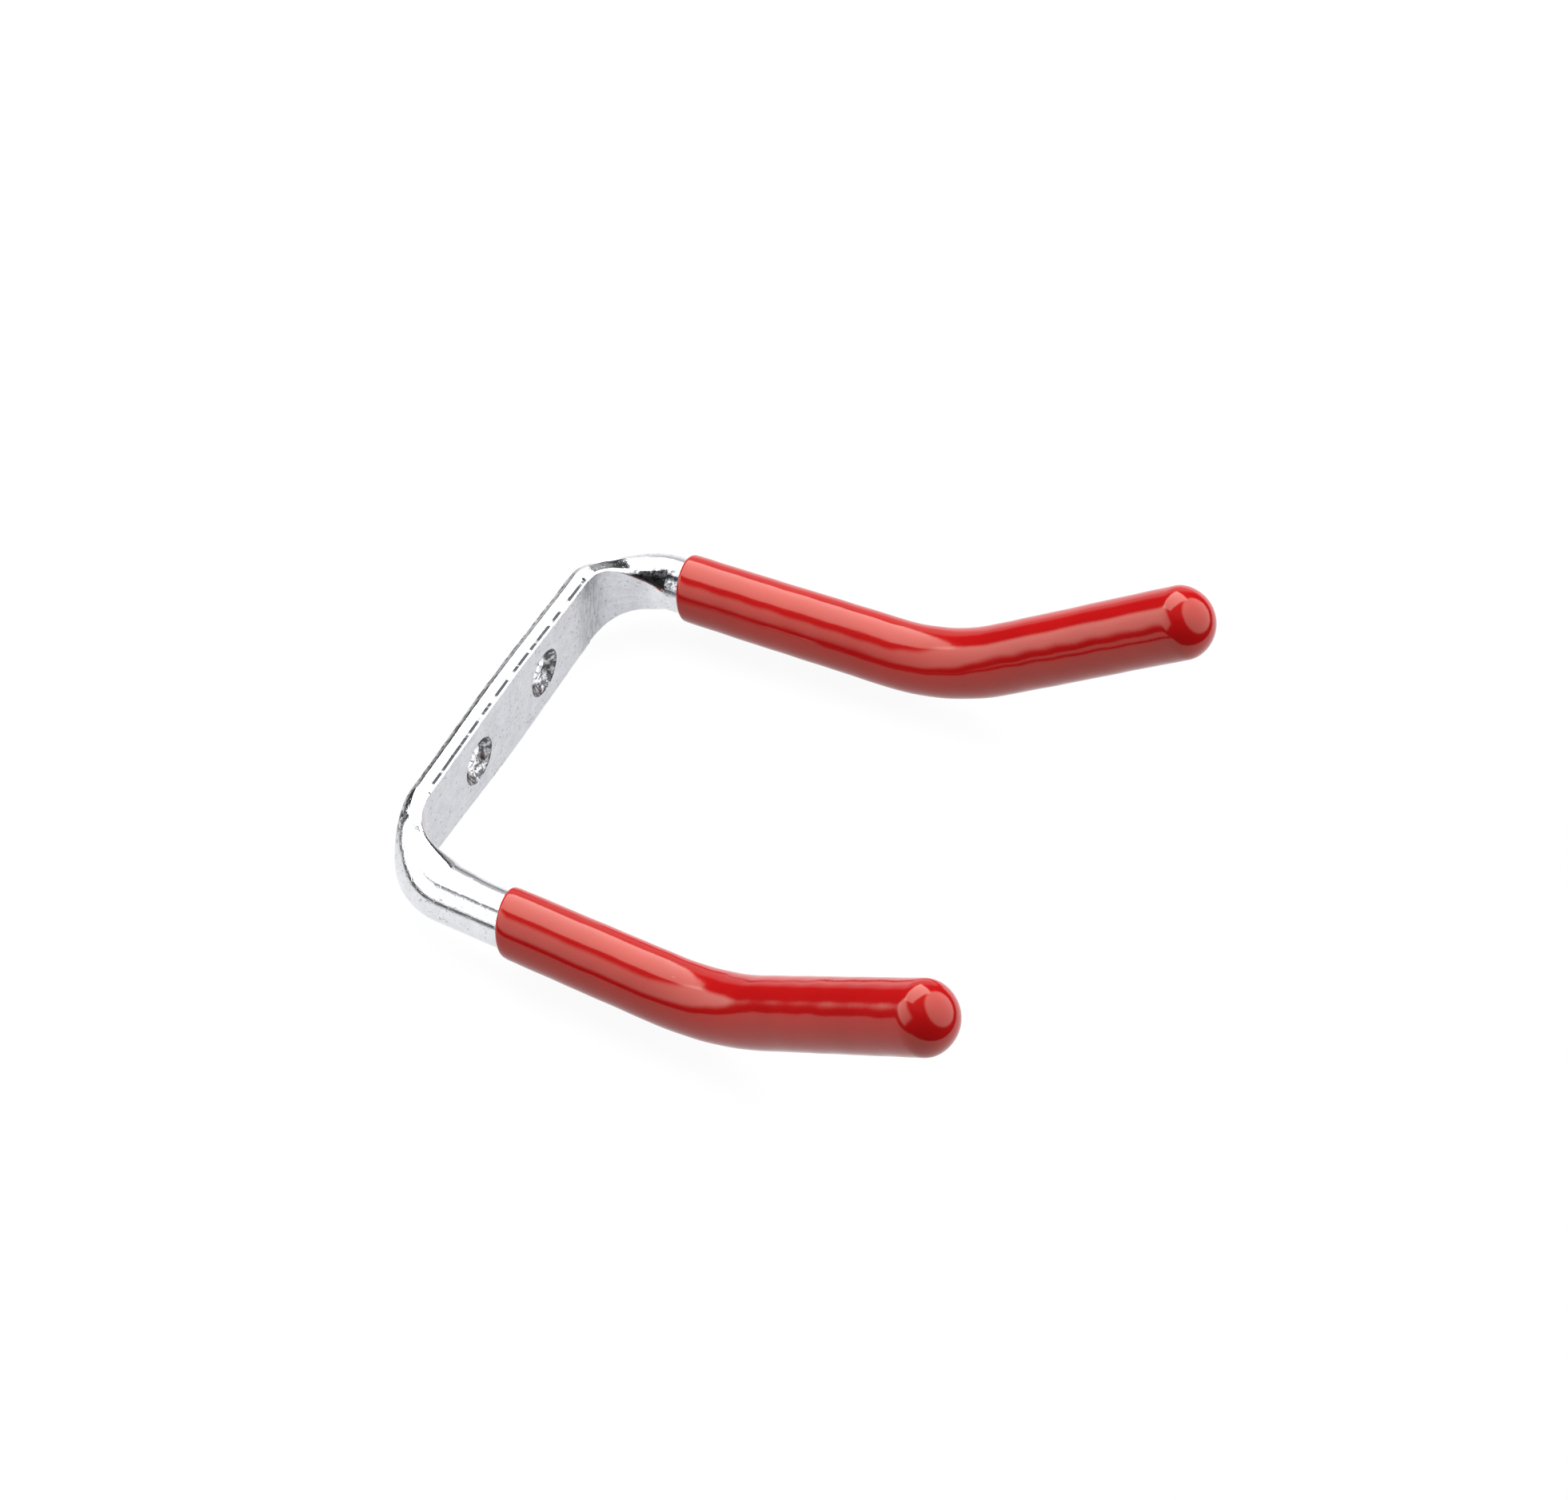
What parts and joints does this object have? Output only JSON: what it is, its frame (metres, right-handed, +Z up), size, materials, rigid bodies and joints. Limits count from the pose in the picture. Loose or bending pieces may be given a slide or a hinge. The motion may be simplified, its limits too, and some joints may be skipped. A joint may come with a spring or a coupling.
{
  "type": "u-shaped tool hook",
  "caption": "U-shaped wall hook of bent round bar: pressed flat into a wall plate with countersunk screw holes, with upturned arms in dip-coated sleeves.",
  "frame": {"origin": "centre of the wall plate's back face, midway between the screw holes", "axes": "+X along the wall plate from the left hole to the right hole as seen from the front, +Y out of the back face into the wall, so the arms run towards -Y, +Z up"},
  "size_m": [0.1156, 0.1161, 0.0412],
  "materials": {
    "steel": "bright zinc plate",
    "vinyl": "gloss dip coat"
  },
  "bodies": {
    "root": {"steel_bar": "steel", "left_sleeve": "vinyl", "right_sleeve": "vinyl"}
  },
  "joints": []
}
